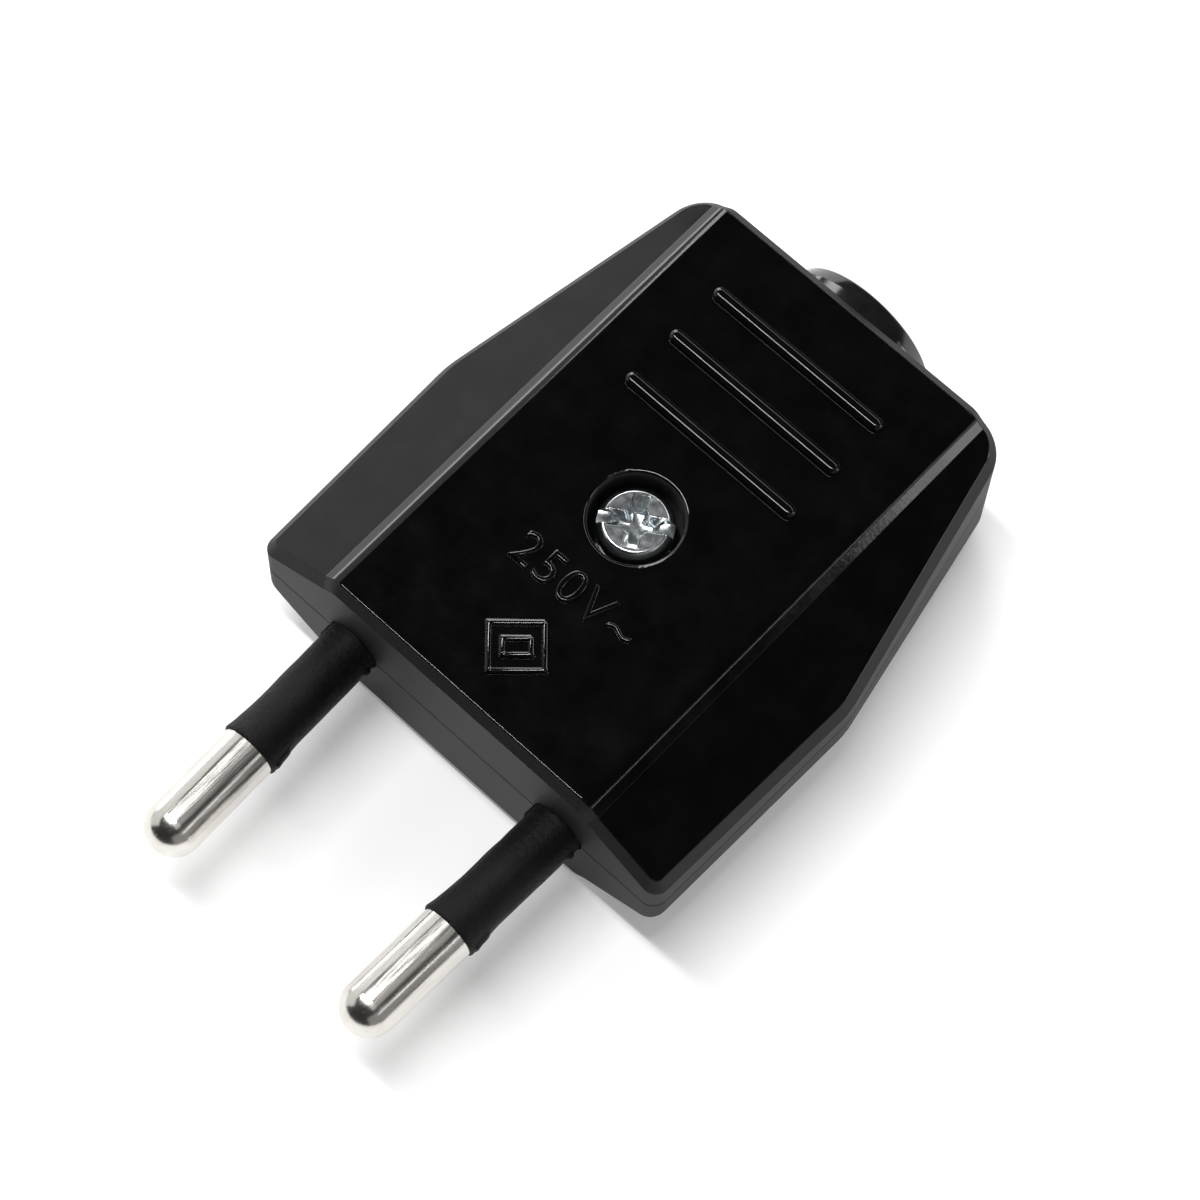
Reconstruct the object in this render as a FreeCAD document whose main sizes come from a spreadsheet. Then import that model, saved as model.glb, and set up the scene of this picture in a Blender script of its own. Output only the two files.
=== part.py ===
import FreeCAD, Part
import math
import os
import Sketcher

# Flat two-pin plug that can be opened and wired: two moulded halves held by one screw, two sleeved pins with
# wire terminals, a cord clamp and a round bush for the cord. The pins point to -Y, the cord leaves to +Y.
# The sizes below are in millimetres and degrees. Lengths run back from the front face, heights from the
# parting plane between the halves.
SIZES = [
    ("body_length", 38.4),
    ("front_width", 35.3),
    ("middle_swell", 0.45),
    ("middle_length", 18.2),
    ("rear_wing", 1.7),
    ("half_height", 6.85),
    ("panel_half", 11.0),
    ("flank_width", 1.0),
    ("wing_angle", 29.46),
    ("crease_angle", 10.9),
    ("front_corner", 0.5),
    ("middle_corner", 7.0),
    ("rear_corner", 1.8),
    ("shoulder_round", 1.6),
    ("crease_round", 0.2),
    ("edge_width", 0.62),
    ("edge_soft", 0.15),
    ("parting_chamfer", 0.08),
    ("wall", 1.6),
    ("front_wall", 2.6),
    ("rear_wall", 2.0),
    ("wing_wall", 1.8),
    ("partition", 1.4),
    ("rib_count", 3),
    ("rib_pitch", 4.28),
    ("rib_first", 24.2),
    ("rib_half", 7.4),
    ("rib_width", 1.1),
    ("rib_rise", 0.5),
    ("rib_foot", 0.08),
    ("screw_length", 17.1),
    ("bore_radius", 3.2),
    ("bore_depth", 2.5),
    ("bore_round", 0.3),
    ("boss_radius", 4.4),
    ("screw_radius", 1.5),
    ("screw_clearance", 0.15),
    ("head_radius", 2.6),
    ("head_height", 2.0),
    ("head_round", 0.55),
    ("core_radius", 1.23),
    ("core_depth", 4.4),
    ("insert_radius", 2.3),
    ("insert_depth", 4.8),
    ("thread_clearance", 0.04),
    ("pin_radius", 2.0),
    ("pin_length", 19.0),
    ("pin_half", 9.2),
    ("pin_lean", 1.45),
    ("neck_radius", 1.5),
    ("sleeve_length", 10.0),
    ("sleeve_radius", 1.96),
    ("sleeve_flare", 0.2),
    ("flare_length", 0.9),
    ("flange_radius", 3.0),
    ("flange_thick", 1.2),
    ("lean_clearance", 0.1),
    ("sleeve_clearance", 0.03),
    ("block_width", 5.2),
    ("block_height", 6.0),
    ("block_length", 8.6),
    ("block_round", 0.5),
    ("wire_radius", 1.3),
    ("wire_depth", 6.5),
    ("seat_clearance", 0.08),
    ("seat_length", 2.4),
    ("stop_thick", 1.4),
    ("terminal_back", 3.4),
    ("terminal_radius", 1.2),
    ("terminal_depth", 2.4),
    ("terminal_head", 1.5),
    ("terminal_rise", 1.4),
    ("bush_inset", 0.65),
    ("bush_length", 1.9),
    ("bush_play", 0.2),
    ("bush_lip", 0.75),
    ("bush_flange_thick", 1.6),
    ("bush_wall", 1.0),
    ("bush_round", 0.4),
    ("mouth_round", 0.6),
    ("clamp_gap", 3.0),
    ("clamp_room", 0.2),
    ("clamp_end", 2.8),
    ("clamp_depth", 5.0),
    ("clamp_level", 0.6),
    ("clamp_thick", 2.4),
    ("clamp_round", 0.8),
    ("grip_radius", 4.0),
    ("grip_rise", 1.4),
    ("post_radius", 2.6),
    ("clamp_screw_radius", 1.1),
    ("clamp_screw_depth", 5.0),
    ("clamp_head", 2.1),
    ("clamp_head_rise", 1.5),
    ("screw_chamfer", 0.12),
]

doc = FreeCAD.newDocument("europlug")
sheet = doc.addObject("Spreadsheet::Sheet", "sizes")
for row, (alias, value) in enumerate(SIZES, start=1):
    sheet.set("A%d" % row, alias)
    sheet.set("B%d" % row, str(value))
    sheet.setAlias("B%d" % row, alias)
doc.recompute()

# Places that several pieces share.
FRONT_HALF = "(sizes.front_width / 2)"
MIDDLE_HALF = "(sizes.front_width / 2 + sizes.middle_swell)"
CREASE_HALF = "(sizes.panel_half + sizes.flank_width)"
REAR_HALF = "(%s + sizes.rear_wing)" % CREASE_HALF
CREASE_HEIGHT = "(sizes.half_height - sizes.flank_width * tan(sizes.wing_angle + sizes.crease_angle))"
WING_SLOPE = "tan(sizes.wing_angle)"
WING_HEIGHT = "(%s - %s * (%s - %s))" % (CREASE_HEIGHT, WING_SLOPE, FRONT_HALF, CREASE_HALF)
CEILING = "(sizes.half_height - sizes.wall)"
BORE_FLOOR = "(sizes.half_height - sizes.bore_depth)"
REAR_INNER = "(sizes.body_length - sizes.rear_wall)"
FLANGE_BACK = "(sizes.front_wall + sizes.lean_clearance + sizes.flange_thick)"
BLOCK_BACK = "(%s + sizes.block_length)" % FLANGE_BACK
TERMINAL = "(%s - sizes.terminal_back)" % BLOCK_BACK
STOP = "(%s + sizes.lean_clearance)" % BLOCK_BACK
BUSH_RADIUS = "(sizes.half_height - sizes.bush_inset)"
BUSH_FLANGE = "(%s - sizes.bush_play)" % CEILING
BUSH_NECK = "(%s - sizes.bush_lip)" % BUSH_FLANGE
BUSH_BORE = "(%s - sizes.bush_wall)" % BUSH_NECK
BUSH_INSIDE = "(sizes.rear_wall + sizes.seat_clearance + sizes.bush_flange_thick)"
CLAMP_SPAN = "(sizes.panel_half - sizes.wall - sizes.clamp_head - sizes.clamp_room)"
CLAMP_HALF = "(%s + sizes.clamp_end)" % CLAMP_SPAN
CLAMP = "(sizes.body_length - %s - sizes.clamp_gap - sizes.clamp_depth / 2)" % BUSH_INSIDE
TIP = "((sizes.pin_length - sizes.pin_radius) * cos(sizes.pin_lean) + sizes.pin_radius)"
FRAME_Y = "(%s - sizes.body_length - sizes.bush_length) / 2" % TIP
FRAME_Z = "sizes.half_height"


def size(alias):
    return float(getattr(sheet, alias))


def origin_plane(body, role):
    return [feature for feature in body.Origin.OriginFeatures if feature.Role == role][0]


def new_body(label, x="0", y="0", z="0"):
    """A body whose own origin lies at x, y, z behind the front face and above the parting plane."""
    body = doc.addObject("PartDesign::Body", label)
    body.setExpression("Placement.Base.x", x)
    body.setExpression("Placement.Base.y", "%s + %s" % (FRAME_Y, y))
    body.setExpression("Placement.Base.z", "%s + %s" % (FRAME_Z, z))
    return body


def new_sketch(body, name, role, offset="0"):
    sketch = body.newObject("Sketcher::SketchObject", name)
    sketch.AttachmentSupport = [(origin_plane(body, role), "")]
    sketch.MapMode = "FlatFace"
    sketch.setExpression("AttachmentOffset.Base.z", offset)
    return sketch


def hold(sketch, geometry, vertex, x, y):
    """Places a point of the sketch at x, y, given as formulas of the sheet."""
    point = sketch.getPoint(geometry, vertex)
    for kind, axis, start, formula in (("DistanceX", -2, point.x, x), ("DistanceY", -1, point.y, y)):
        if formula == "0":
            sketch.addConstraint(Sketcher.Constraint("PointOnObject", geometry, vertex, axis))
        else:
            index = sketch.addConstraint(Sketcher.Constraint(kind, -1, 1, geometry, vertex, start))
            sketch.setExpression("Constraints[%d]" % index, formula)


def polygon(sketch, corners):
    """A closed outline of straight lines; it starts on a ring and takes its corners from the sheet."""
    first = sketch.GeometryCount
    count = len(corners)
    ring = []
    for i in range(count):
        turn = 2 * math.pi * (i + 0.37) / count
        ring.append(FreeCAD.Vector(9 * math.cos(turn), 9 * math.sin(turn), 0))
    for i in range(count):
        sketch.addGeometry(Part.LineSegment(ring[i], ring[(i + 1) % count]))
    for i in range(count):
        after = first + (i + 1) % count
        sketch.addConstraint(Sketcher.Constraint("Coincident", first + i, 2, after, 1))
    for i, (x, y) in enumerate(corners):
        hold(sketch, first + i, 1, x, y)


def rectangle(sketch, left, right, low, high):
    polygon(sketch, [(left, low), (right, low), (right, high), (left, high)])


def circle(sketch, x, y, radius):
    index = sketch.GeometryCount
    sketch.addGeometry(Part.Circle(FreeCAD.Vector(3.0, 2.0, 0), FreeCAD.Vector(0, 0, 1), 1.0))
    hold(sketch, index, 3, x, y)
    held = sketch.addConstraint(Sketcher.Constraint("Radius", index, 1.0))
    sketch.setExpression("Constraints[%d]" % held, radius)


def slot(sketch, half, y, radius):
    """A long hole shape across the plug with round ends at -half and half."""
    first = sketch.GeometryCount
    up = FreeCAD.Vector(0, 0, 1)
    right_end = Part.Circle(FreeCAD.Vector(6, 24, 0), up, 1)
    left_end = Part.Circle(FreeCAD.Vector(-6, 24, 0), up, 1)
    sketch.addGeometry(Part.ArcOfCircle(right_end, -math.pi / 2, math.pi / 2))
    sketch.addGeometry(Part.ArcOfCircle(left_end, math.pi / 2, 3 * math.pi / 2))
    sketch.addGeometry(Part.LineSegment(FreeCAD.Vector(6, 25, 0), FreeCAD.Vector(-6, 25, 0)))
    sketch.addGeometry(Part.LineSegment(FreeCAD.Vector(-6, 23, 0), FreeCAD.Vector(6, 23, 0)))
    sketch.addConstraint(Sketcher.Constraint("Tangent", first, 2, first + 2, 1))
    sketch.addConstraint(Sketcher.Constraint("Tangent", first + 2, 2, first + 1, 1))
    sketch.addConstraint(Sketcher.Constraint("Tangent", first + 1, 2, first + 3, 1))
    sketch.addConstraint(Sketcher.Constraint("Tangent", first + 3, 2, first, 1))
    sketch.addConstraint(Sketcher.Constraint("Horizontal", first + 2))
    sketch.addConstraint(Sketcher.Constraint("Equal", first, first + 1))
    hold(sketch, first, 3, half, y)
    held = sketch.addConstraint(Sketcher.Constraint("DistanceX", first + 1, 3, first, 3, 12.0))
    sketch.setExpression("Constraints[%d]" % held, "2 * (%s)" % half)
    held = sketch.addConstraint(Sketcher.Constraint("Radius", first, 1.0))
    sketch.setExpression("Constraints[%d]" % held, radius)


def pad(body, sketch, name, length, reverse=False):
    feature = body.newObject("PartDesign::Pad", name)
    feature.Profile = sketch
    feature.Reversed = reverse
    feature.setExpression("Length", length)
    doc.recompute()
    return feature


def pocket(body, sketch, name, length, reverse=False):
    """A cut of the given depth; it must take something away."""
    before = body.Shape.Volume
    feature = body.newObject("PartDesign::Pocket", name)
    feature.Profile = sketch
    feature.Reversed = reverse
    feature.setExpression("Length", length)
    doc.recompute()
    if body.Shape.Volume > before - 1e-6:
        raise RuntimeError("%s cuts nothing" % name)
    return feature


def revolve(body, sketch, name, axis):
    feature = body.newObject("PartDesign::Revolution", name)
    feature.Profile = sketch
    feature.ReferenceAxis = (sketch, [axis])
    feature.Angle = 360.0
    doc.recompute()
    return feature


def round_edges(body, name, chosen, radius, kind="PartDesign::Fillet"):
    """Rounds, or chamfers, the edges of the body's present shape that chosen() picks."""
    base = body.Tip
    edges = base.Shape.Edges
    numbered = [(i + 1, edge) for i, edge in enumerate(edges) if not edge.Degenerated]
    names = ["Edge%d" % number for number, edge in numbered if chosen(edge)]
    if not names:
        raise RuntimeError("%s finds no edge" % name)
    feature = body.newObject(kind, name)
    feature.Base = (base, names)
    feature.setExpression("Size" if kind.endswith("Chamfer") else "Radius", radius)
    doc.recompute()
    return feature


def middle(edge):
    return edge.valueAt((edge.FirstParameter + edge.LastParameter) / 2)


def runs_along(edge, axis):
    """True for a straight edge along one axis of the body."""
    if edge.Curve.TypeId != "Part::GeomLine":
        return False
    return abs(abs(edge.Curve.Direction.dot(axis)) - 1) < 1e-6


def near(a, b):
    return abs(a - b) < 0.02


def level(edge):
    """Height of an edge that lies flat, or None."""
    heights = [vertex.Z for vertex in edge.Vertexes] + [middle(edge).z]
    if max(heights) - min(heights) > 1e-4:
        return None
    return heights[0]


# Outer form of a half: plan outline, then the wings are cut down beside the raised panel.
def outer_form(body, upper):
    plan = new_sketch(body, body.Label + "_plan", "XY_Plane")
    polygon(plan, [
        ("-" + FRONT_HALF, "0"),
        (FRONT_HALF, "0"),
        (MIDDLE_HALF, "sizes.middle_length"),
        (REAR_HALF, "sizes.body_length"),
        ("-" + REAR_HALF, "sizes.body_length"),
        ("-" + MIDDLE_HALF, "sizes.middle_length"),
    ])
    pad(body, plan, body.Label + "_blank", "sizes.half_height", not upper)
    upright = FreeCAD.Vector(0, 0, 1)
    corners = (
        ("front", 0.0, "sizes.edge_width + sizes.front_corner"),
        ("middle", size("middle_length"), "sizes.middle_corner"),
        ("rear", size("body_length"), "sizes.edge_width + sizes.rear_corner"),
    )
    for place, length, radius in corners:
        def at_corner(edge, length=length):
            return runs_along(edge, upright) and near(middle(edge).y, length)
        round_edges(body, "%s_%s_corners" % (body.Label, place), at_corner, radius)

    sign = 1 if upper else -1
    wings = new_sketch(body, body.Label + "_wings", "XZ_Plane")
    outside = "(%s + sizes.wall)" % MIDDLE_HALF
    low = "(%s - %s * (%s - %s))" % (CREASE_HEIGHT, WING_SLOPE, outside, CREASE_HALF)
    top = "(sizes.half_height + sizes.wall)"
    for side in (1, -1):
        polygon(wings, [("%d * %s" % (side, x), "%d * %s" % (sign, z)) for x, z in (
            ("sizes.panel_half", "sizes.half_height"),
            (CREASE_HALF, CREASE_HEIGHT),
            (outside, low),
            (outside, top),
            ("sizes.panel_half", top),
        )])
    pocket(body, wings, body.Label + "_wing_cut", "sizes.body_length")
    round_outer_form(body, sign)


def round_outer_form(body, sign):
    along = FreeCAD.Vector(0, 1, 0)
    across = FreeCAD.Vector(1, 0, 0)

    def at_shoulder(edge):
        return runs_along(edge, along) and near(abs(middle(edge).x), size("panel_half"))

    def at_crease(edge):
        return runs_along(edge, along) and near(abs(middle(edge).x), size("panel_half") + size("flank_width"))

    def at_rim(edge):
        if sign * middle(edge).z < 0.5:
            return False
        faces = body.Tip.Shape.ancestorsOfType(edge, Part.Face)
        steep = []
        for face in faces:
            u, v = face.Surface.parameter(middle(edge))
            steep.append(abs(face.normalAt(u, v).z) < 1e-3)
        return steep.count(True) == 1

    def at_panel_end(edge):
        return runs_along(edge, across) and near(sign * middle(edge).z, size("half_height"))

    def at_parting(edge):
        return level(edge) is not None and near(level(edge), 0.0)

    round_edges(body, body.Label + "_shoulders", at_shoulder, "sizes.shoulder_round")
    round_edges(body, body.Label + "_creases", at_crease, "sizes.crease_round")
    round_edges(body, body.Label + "_rim", at_rim, "sizes.edge_width", "PartDesign::Chamfer")
    round_edges(body, body.Label + "_rim_soft", at_panel_end, "sizes.edge_soft")
    round_edges(body, body.Label + "_parting", at_parting, "sizes.parting_chamfer", "PartDesign::Chamfer")


# Inside of a half: three steps follow the slope of the wings, so the wall stays about even.
def hollow(body, upper):
    def step(name, half_front, half_rear, back, depth):
        sketch = new_sketch(body, body.Label + name, "XY_Plane")
        polygon(sketch, [
            ("-(%s)" % half_front, "sizes.front_wall"),
            (half_front, "sizes.front_wall"),
            (half_front, "sizes.middle_length"),
            (half_rear, back),
            ("-(%s)" % half_rear, back),
            ("-(%s)" % half_front, "sizes.middle_length"),
        ])
        pocket(body, sketch, body.Label + name + "_cut", depth, upper)

    wing_inside = "(%s - sizes.wing_wall)" % FRONT_HALF
    rear_inside = "(%s - sizes.wing_wall)" % REAR_HALF
    wing_depth = "(%s + %s * sizes.wing_wall - sizes.wing_wall)" % (WING_HEIGHT, WING_SLOPE)
    inner_depth = "(%s - %s * sizes.wall / 2 - sizes.wing_wall)" % (CREASE_HEIGHT, WING_SLOPE)
    step("_outer_hollow", wing_inside, rear_inside, REAR_INNER, wing_depth)
    step("_inner_hollow", "(%s + sizes.wall / 2)" % CREASE_HALF, "(%s - sizes.wall / 2)" % CREASE_HALF,
         REAR_INNER, inner_depth)
    step("_main_hollow", "sizes.panel_half", "(sizes.panel_half - sizes.wall)", REAR_INNER, CEILING)


def inner_pad(body, name, shape, upper, start="0"):
    """Adds material from a height above (or below) the parting plane to inside the panel."""
    sign = "" if upper else "-"
    sketch = new_sketch(body, body.Label + name, "XY_Plane", "%s(%s)" % (sign, start))
    shape(sketch)
    pad(body, sketch, body.Label + name + "_pad", "sizes.half_height - sizes.wall / 2 - (%s)" % start, not upper)


# What both halves hold: screw boss, partition between the poles, seats and stops of the terminals, cut-outs.
def add_seats(body, upper):
    def boss(sketch):
        circle(sketch, "0", "sizes.screw_length", "sizes.boss_radius")

    def wall_between(sketch):
        rectangle(sketch, "-sizes.partition / 2", "sizes.partition / 2",
                  "sizes.front_wall - sizes.wall / 2", "sizes.screw_length - sizes.boss_radius + sizes.wall / 2")

    def both_sides(sketch, low, high, inner, outer):
        rectangle(sketch, inner, outer, low, high)
        rectangle(sketch, "-(%s)" % outer, "-(%s)" % inner, low, high)

    def seats(sketch):
        both_sides(sketch, FLANGE_BACK, "%s + sizes.seat_length" % FLANGE_BACK,
                   "sizes.pin_half - sizes.block_width / 4", "sizes.pin_half + sizes.block_width / 4")

    def stops(sketch):
        both_sides(sketch, STOP, "%s + sizes.stop_thick" % STOP,
                   "sizes.pin_half - sizes.block_width / 2", "sizes.pin_half")

    inner_pad(body, "_boss", boss, upper)
    inner_pad(body, "_between", wall_between, upper)
    inner_pad(body, "_seats", seats, upper, "sizes.block_height / 2 + sizes.seat_clearance")
    inner_pad(body, "_stops", stops, upper, "sizes.wire_radius + sizes.seat_clearance")

    holes = new_sketch(body, body.Label + "_pin_holes", "XZ_Plane")
    for x in ("sizes.pin_half", "-sizes.pin_half"):
        circle(holes, x, "0", "sizes.sleeve_radius + sizes.lean_clearance")
    pocket(body, holes, body.Label + "_pin_hole_cut", "sizes.front_wall")

    outlet = new_sketch(body, body.Label + "_outlet", "XZ_Plane", "-sizes.body_length")
    circle(outlet, "0", "0", "%s + sizes.seat_clearance" % BUSH_NECK)
    pocket(body, outlet, body.Label + "_outlet_cut", "sizes.rear_wall", True)


# Upper half: finger ribs across the panel behind the counterbore of the housing screw.
def make_upper_shell():
    body = new_body("upper_shell")
    outer_form(body, True)
    add_ribs(body)
    hollow(body, True)
    add_seats(body, True)

    bore = new_sketch(body, "counterbore", "XY_Plane", "sizes.half_height")
    circle(bore, "0", "sizes.screw_length", "sizes.bore_radius")
    pocket(body, bore, "counterbore_cut", "sizes.bore_depth")

    def at_mouth(edge):
        flat = level(edge) is not None and near(level(edge), size("half_height"))
        return flat and near(edge.BoundBox.XLength, 2 * size("bore_radius"))
    round_edges(body, "counterbore_mouth", at_mouth, "sizes.bore_round")

    passage = new_sketch(body, "screw_passage", "XY_Plane")
    circle(passage, "0", "sizes.screw_length", "sizes.screw_radius + sizes.screw_clearance")
    pocket(body, passage, "screw_passage_cut", BORE_FLOOR, True)
    return body


def add_ribs(body):
    first = new_sketch(body, "rib", "XY_Plane", "sizes.half_height - sizes.wall / 4")
    slot(first, "sizes.rib_half - sizes.rib_width / 2", "sizes.rib_first", "sizes.rib_width / 2")
    rib = pad(body, first, "rib_pad", "sizes.wall / 4 + sizes.rib_rise")
    row = body.newObject("PartDesign::LinearPattern", "rib_row")
    row.Originals = [rib]
    row.Direction = (first, ["V_Axis"])
    row.setExpression("Length", "sizes.rib_pitch * (sizes.rib_count - 1)")
    row.setExpression("Occurrences", "sizes.rib_count")
    body.Tip = row
    doc.recompute()
    crest = size("half_height") + size("rib_rise")

    def at_crest(edge):
        return level(edge) is not None and near(level(edge), crest)
    round_edges(body, "rib_crests", at_crest, "sizes.rib_rise - sizes.rib_foot")


# Lower half: blind boss for the threaded insert and two posts for the cord clamp.
def make_lower_shell():
    body = new_body("lower_shell")
    outer_form(body, False)
    hollow(body, False)
    add_seats(body, False)

    posts = new_sketch(body, "clamp_posts", "XY_Plane", "sizes.clamp_level")
    for x in (CLAMP_SPAN, "-" + CLAMP_SPAN):
        circle(posts, x, CLAMP, "sizes.post_radius")
    pad(body, posts, "clamp_post_pad", "sizes.clamp_level + sizes.half_height - sizes.wall / 2", True)

    pilots = new_sketch(body, "post_holes", "XY_Plane", "sizes.clamp_level")
    for x in (CLAMP_SPAN, "-" + CLAMP_SPAN):
        circle(pilots, x, CLAMP, "sizes.clamp_screw_radius + sizes.thread_clearance")
    pocket(body, pilots, "post_hole_cut", "sizes.clamp_screw_depth - sizes.clamp_thick + sizes.screw_clearance")

    socket = new_sketch(body, "insert_socket", "XY_Plane")
    circle(socket, "0", "sizes.screw_length", "sizes.insert_radius")
    pocket(body, socket, "insert_socket_cut", "sizes.insert_depth")
    return body


# Housing screw: pan head on the counterbore's floor, plain shank, thread at its core size in the insert.
def make_housing_screw():
    body = new_body("housing_screw", "0", "sizes.screw_length", BORE_FLOOR)
    half = new_sketch(body, "housing_screw_half", "XZ_Plane")
    polygon(half, [
        ("0", "sizes.head_height"),
        ("sizes.head_radius", "sizes.head_height"),
        ("sizes.head_radius", "0"),
        ("sizes.screw_radius", "0"),
        ("sizes.screw_radius", "sizes.screw_clearance - %s" % BORE_FLOOR),
        ("sizes.core_radius", "sizes.screw_clearance - %s" % BORE_FLOOR),
        ("sizes.core_radius", "-sizes.core_depth - %s" % BORE_FLOOR),
        ("0", "-sizes.core_depth - %s" % BORE_FLOOR),
    ])
    revolve(body, half, "housing_screw_turn", "V_Axis")

    def at_head_rim(edge):
        return level(edge) is not None and near(level(edge), size("head_height"))
    round_edges(body, "housing_screw_pan", at_head_rim, "sizes.head_round")
    return body


def make_screw_insert():
    body = new_body("screw_insert", "0", "sizes.screw_length", "-sizes.insert_depth")
    ring = new_sketch(body, "insert_ring", "XY_Plane")
    circle(ring, "0", "0", "sizes.insert_radius")
    circle(ring, "0", "0", "sizes.core_radius + sizes.thread_clearance")
    pad(body, ring, "insert_pad", "sizes.insert_depth")
    return body


# Pins: each leans towards the other, so the tips stand closer than the roots.
def lean(body, side):
    body.Placement = FreeCAD.Placement(FreeCAD.Vector(), FreeCAD.Rotation(FreeCAD.Vector(0, 0, 1), -side))
    body.setExpression("Placement.Rotation.Angle", "%d * sizes.pin_lean" % -side)


def make_pin(label, side):
    body = new_body(label, "%d * sizes.pin_half" % side)
    lean(body, side)
    add_pin_turning(body)

    face = new_sketch(body, label + "_block_face", "XZ_Plane", "-%s" % FLANGE_BACK)
    rectangle(face, "-sizes.block_width / 2", "sizes.block_width / 2",
              "-sizes.block_height / 2", "sizes.block_height / 2")
    pad(body, face, label + "_block", "sizes.block_length", True)

    def at_block(edge):
        return runs_along(edge, FreeCAD.Vector(0, 1, 0)) and middle(edge).y > size("front_wall")
    round_edges(body, label + "_block_rounds", at_block, "sizes.block_round")

    wire = new_sketch(body, label + "_wire_hole", "XZ_Plane", "-%s" % BLOCK_BACK)
    circle(wire, "0", "0", "sizes.wire_radius")
    pocket(body, wire, label + "_wire_cut", "sizes.wire_depth", True)

    tapped = new_sketch(body, label + "_tapped_hole", "XY_Plane", "sizes.block_height / 2")
    circle(tapped, "0", TERMINAL, "sizes.terminal_radius + sizes.thread_clearance")
    pocket(body, tapped, label + "_tapped_cut", "sizes.block_height / 2")
    return body


def add_pin_turning(body):
    """The turned rod: domed tip, bare contact length, and the thinner neck under the sleeve."""
    half = new_sketch(body, body.Label + "_half", "XY_Plane")
    dome = Part.Circle(FreeCAD.Vector(0, -17, 0), FreeCAD.Vector(0, 0, 1), 2)
    half.addGeometry(Part.ArcOfCircle(dome, -math.pi / 2, 0))
    corners = [(2, -17), (2, -10), (1.5, -10), (1.5, 4), (0, 4), (0, -19)]
    for start, end in zip(corners, corners[1:]):
        half.addGeometry(Part.LineSegment(FreeCAD.Vector(*start, 0), FreeCAD.Vector(*end, 0)))
    for i in range(6):
        half.addConstraint(Sketcher.Constraint("Coincident", i, 2, (i + 1) % 6, 1))
    hold(half, 0, 3, "0", "sizes.pin_radius - sizes.pin_length")
    hold(half, 1, 1, "sizes.pin_radius", "sizes.pin_radius - sizes.pin_length")
    hold(half, 2, 1, "sizes.pin_radius", "-sizes.sleeve_length")
    hold(half, 3, 1, "sizes.neck_radius", "-sizes.sleeve_length")
    hold(half, 4, 1, "sizes.neck_radius", FLANGE_BACK)
    hold(half, 5, 1, "0", FLANGE_BACK)
    half.addConstraint(Sketcher.Constraint("PointOnObject", 0, 1, -2))
    revolve(body, half, body.Label + "_turning", "V_Axis")


# Sleeves: moulded tubes with a flared end and a flange behind the front wall.
def make_sleeve(label, side):
    body = new_body(label, "%d * sizes.pin_half" % side)
    lean(body, side)
    half = new_sketch(body, label + "_half", "XY_Plane")
    inner = "sizes.neck_radius + sizes.sleeve_clearance"
    outer = "sizes.sleeve_radius"
    flange_front = "sizes.front_wall + sizes.lean_clearance"
    polygon(half, [
        (inner, "-sizes.sleeve_length"),
        ("sizes.sleeve_radius + sizes.sleeve_flare", "-sizes.sleeve_length"),
        (outer, "sizes.flare_length - sizes.sleeve_length"),
        (outer, flange_front),
        ("sizes.flange_radius", flange_front),
        ("sizes.flange_radius", FLANGE_BACK),
        (inner, FLANGE_BACK),
    ])
    revolve(body, half, label + "_turn", "V_Axis")
    return body


def make_headed_screw(label, x, y, z, names):
    """A plain headed screw standing on z: names are the sheet's shank, depth, head and rise."""
    shank, depth, head, rise = ["sizes." + name for name in names]
    body = new_body(label, x, y, z)
    half = new_sketch(body, label + "_half", "XZ_Plane")
    polygon(half, [
        ("0", rise),
        (head, rise),
        (head, "0"),
        (shank, "0"),
        (shank, "-" + depth),
        ("0", "-" + depth),
    ])
    revolve(body, half, label + "_turn", "V_Axis")

    def at_top(edge):
        return level(edge) is not None and near(level(edge), size(names[3]))
    round_edges(body, label + "_top", at_top, "sizes.screw_chamfer", "PartDesign::Chamfer")
    return body


def make_terminal_screw(label, side):
    x = "%d * (sizes.pin_half + %s * sin(sizes.pin_lean))" % (side, TERMINAL)
    y = "%s * cos(sizes.pin_lean)" % TERMINAL
    names = ("terminal_radius", "terminal_depth", "terminal_head", "terminal_rise")
    return make_headed_screw(label, x, y, "sizes.block_height / 2", names)


def make_clamp_screw(label, side):
    names = ("clamp_screw_radius", "clamp_screw_depth", "clamp_head", "clamp_head_rise")
    z = "sizes.clamp_level + sizes.clamp_thick"
    return make_headed_screw(label, "%d * %s" % (side, CLAMP_SPAN), CLAMP, z, names)


# Cord clamp: a bar across the posts, hollowed where it grips the cord.
def make_cord_clamp():
    body = new_body("cord_clamp", "0", CLAMP, "sizes.clamp_level")
    plan = new_sketch(body, "clamp_plan", "XY_Plane")
    rectangle(plan, "-" + CLAMP_HALF, CLAMP_HALF, "-sizes.clamp_depth / 2", "sizes.clamp_depth / 2")
    for x in (CLAMP_SPAN, "-" + CLAMP_SPAN):
        circle(plan, x, "0", "sizes.clamp_screw_radius + sizes.screw_clearance")
    pad(body, plan, "clamp_bar", "sizes.clamp_thick")

    def at_end(edge):
        return runs_along(edge, FreeCAD.Vector(0, 0, 1))
    round_edges(body, "clamp_ends", at_end, "sizes.clamp_round")

    grip = new_sketch(body, "clamp_grip", "XZ_Plane", "sizes.clamp_depth / 2")
    circle(grip, "0", "sizes.grip_rise - sizes.grip_radius", "sizes.grip_radius")
    pocket(body, grip, "clamp_grip_cut", "sizes.clamp_depth")
    return body


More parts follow.
